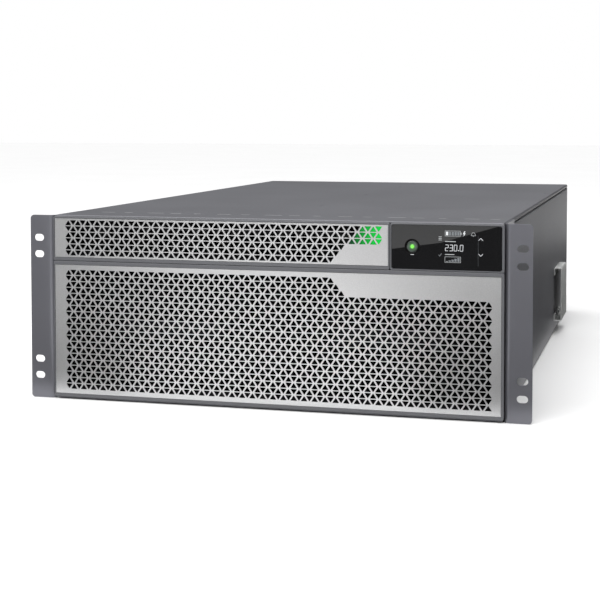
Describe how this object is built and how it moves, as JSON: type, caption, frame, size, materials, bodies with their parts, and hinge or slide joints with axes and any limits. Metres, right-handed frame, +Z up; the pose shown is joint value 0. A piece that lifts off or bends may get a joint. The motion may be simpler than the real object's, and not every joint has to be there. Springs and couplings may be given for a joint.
{
  "type": "uninterruptible power supply",
  "caption": "Rack-mounted uninterruptible power supply with perforated front bezels, glossy display, slide-out battery modules, rear outlets and cooling fans.",
  "frame": {"origin": "on the plane of the rack ears' lower edges, under the middle of the whole box", "axes": "+X to the right seen from the front, +Y to the back, +Z up; the bezels face -Y"},
  "size_m": [0.4826, 0.726, 0.1778],
  "materials": {
    "case_paint": "satin powder coat, dark grey",
    "inner_zinc": "zinc-plated sheet steel",
    "bracket_zinc": "bright zinc-plated steel",
    "bezel_plastic": "fine-textured moulded plastic, dark grey",
    "grille_silver": "satin metallic silver",
    "accent_green": "translucent green",
    "display_black": "piano black with printed symbols",
    "lcd_glass": "unlit liquid-crystal panel",
    "button_grey": "smoked translucent plastic",
    "ring_black": "glossy black",
    "led_green": "clear light pipe, lit green",
    "circuit_board": "solder-masked glass laminate",
    "fin_aluminium": "extruded, matt",
    "capacitor_sleeve": "shrunk plastic sleeve",
    "winding_copper": "enamelled copper wire",
    "cell_plastic": "moulded battery case",
    "handle_plastic": "moulded grip",
    "fan_plastic": "glass-filled plastic, black",
    "guard_wire": "nickel-plated wire",
    "outlet_plastic": "moulded plastic, black",
    "lever_plastic": "glossy moulded lever",
    "screw_zinc": "zinc-plated screws"
  },
  "bodies": {
    "chassis": {"chassis_tray": "case_paint", "rear_panel": "case_paint", "top_cover": "case_paint", "left_rack_ear": "case_paint", "right_rack_ear": "case_paint", "terminal_cover": "case_paint", "front_bulkhead": "inner_zinc", "mid_shelf": "inner_zinc", "bay_walls": "inner_zinc", "cover_supports": "inner_zinc", "card_cage": "inner_zinc", "left_side_bracket": "bracket_zinc", "right_side_bracket": "bracket_zinc", "display_housing": "bezel_plastic", "display_glass": "display_black", "lcd_panel": "lcd_glass", "button_ring": "ring_black", "display_board": "circuit_board", "main_power_board": "circuit_board", "control_board": "circuit_board", "charger_board": "circuit_board", "rectifier_heatsink": "fin_aluminium", "inverter_heatsink": "fin_aluminium", "capacitor_bank": "capacitor_sleeve", "power_inductors": "winding_copper", "bay_connectors": "handle_plastic", "bezel_clips": "handle_plastic", "battery_socket": "handle_plastic", "fan_frames": "fan_plastic", "fan_guards": "guard_wire", "first_outlets": "outlet_plastic", "second_outlets": "outlet_plastic", "input_terminal_block": "outlet_plastic", "input_breaker": "outlet_plastic", "comm_ports": "outlet_plastic", "reset_breaker": "outlet_plastic", "side_fixings": "screw_zinc", "cover_screws": "screw_zinc", "rear_screws": "screw_zinc", "ground_stud": "screw_zinc"},
    "lower_bezel": {"lower_bezel_frame": "bezel_plastic", "lower_grille": "grille_silver"},
    "upper_bezel": {"upper_bezel_frame": "bezel_plastic", "upper_grille": "grille_silver", "grille_accents": "accent_green"},
    "power_key": {"power_button": "button_grey", "button_light_pipe": "led_green"},
    "left_battery": {"left_battery_case": "inner_zinc", "left_battery_cells": "cell_plastic", "left_battery_handle": "handle_plastic"},
    "right_battery": {"right_battery_case": "inner_zinc", "right_battery_cells": "cell_plastic", "right_battery_handle": "handle_plastic"},
    "left_rotor": {"left_fan_rotor": "fan_plastic"},
    "middle_rotor": {"middle_fan_rotor": "fan_plastic"},
    "right_rotor": {"right_fan_rotor": "fan_plastic"},
    "breaker_toggle": {"breaker_lever": "lever_plastic"},
    "reset_key": {"reset_button": "lever_plastic"},
    "card": {"network_card": "case_paint", "card_thumbscrews": "screw_zinc"}
  },
  "joints": [
    {"name": "lower_bezel_pull", "type": "slide", "parent": "chassis", "child": "lower_bezel", "axis": [0, -1, 0], "range_m": [0, 0.42]},
    {"name": "left_battery_slide", "type": "slide", "parent": "chassis", "child": "left_battery", "axis": [0, -1, 0], "range_m": [0, 0.378]},
    {"name": "right_battery_slide", "type": "slide", "parent": "chassis", "child": "right_battery", "axis": [0, -1, 0], "range_m": [0, 0.252]},
    {"name": "upper_bezel_pull", "type": "slide", "parent": "chassis", "child": "upper_bezel", "axis": [0, -1, 0], "range_m": [0, 0.08]},
    {"name": "power_button_press", "type": "slide", "parent": "chassis", "child": "power_key", "axis": [0, 1, 0], "range_m": [0, 0.0012], "stiffness_N_per_m": 600},
    {"name": "left_fan_spin", "type": "hinge", "parent": "chassis", "child": "left_rotor", "pos_m": [-0.162, 0.342, 0.122], "axis": [0, 1, 0], "continuous": true},
    {"name": "middle_fan_spin", "type": "hinge", "parent": "chassis", "child": "middle_rotor", "pos_m": [-0.074, 0.342, 0.122], "axis": [0, 1, 0], "continuous": true},
    {"name": "right_fan_spin", "type": "hinge", "parent": "chassis", "child": "right_rotor", "pos_m": [0.014, 0.342, 0.122], "axis": [0, 1, 0], "continuous": true},
    {"name": "breaker_throw", "type": "hinge", "parent": "chassis", "child": "breaker_toggle", "pos_m": [0.073, 0.3533, 0.044], "axis": [1, 0, 0], "range_deg": [-28, 28]},
    {"name": "reset_press", "type": "slide", "parent": "chassis", "child": "reset_key", "axis": [0, -1, 0], "range_m": [0, 0.002], "stiffness_N_per_m": 500},
    {"name": "network_card_slide", "type": "slide", "parent": "chassis", "child": "card", "axis": [0, 1, 0], "range_m": [0, 0.13]}
  ],
  "couplings": [
    {"joint": "left_battery_slide", "follows": "lower_bezel_pull", "ratio": 0.9},
    {"joint": "right_battery_slide", "follows": "lower_bezel_pull", "ratio": 0.6}
  ]
}
